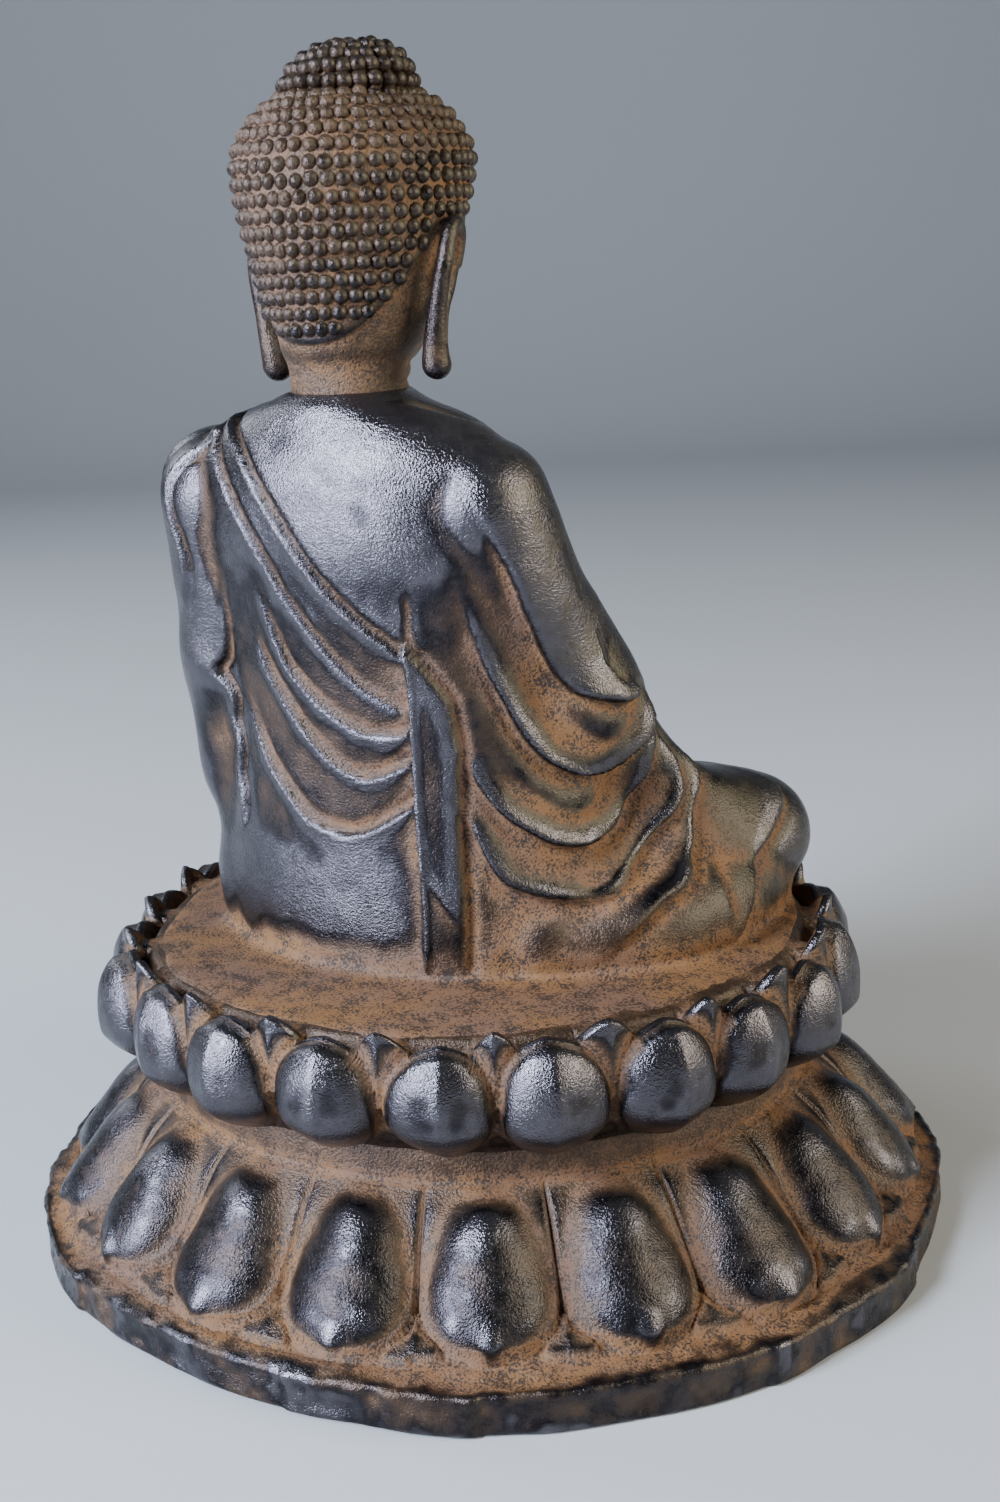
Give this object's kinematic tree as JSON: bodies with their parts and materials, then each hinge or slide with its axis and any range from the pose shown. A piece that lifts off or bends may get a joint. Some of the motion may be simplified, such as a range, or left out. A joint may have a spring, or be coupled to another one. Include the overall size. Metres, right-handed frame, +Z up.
{
  "type": "statuette",
  "caption": "Iron figure of a seated, robed buddha with hair in small curls, on an oval throne of two tiers of lotus petals.",
  "frame": {"origin": "centre of the throne's underside", "axes": "+Z up; the figure faces -Y and its right side is at -X"},
  "size_m": [0.2536, 0.243, 0.3056],
  "materials": {
    "cast_iron": "dark iron, worn and polished by handling on the high places, orange-brown rust in the hollows"
  },
  "bodies": {
    "root": {"iron_buddha": "cast_iron"}
  },
  "joints": []
}
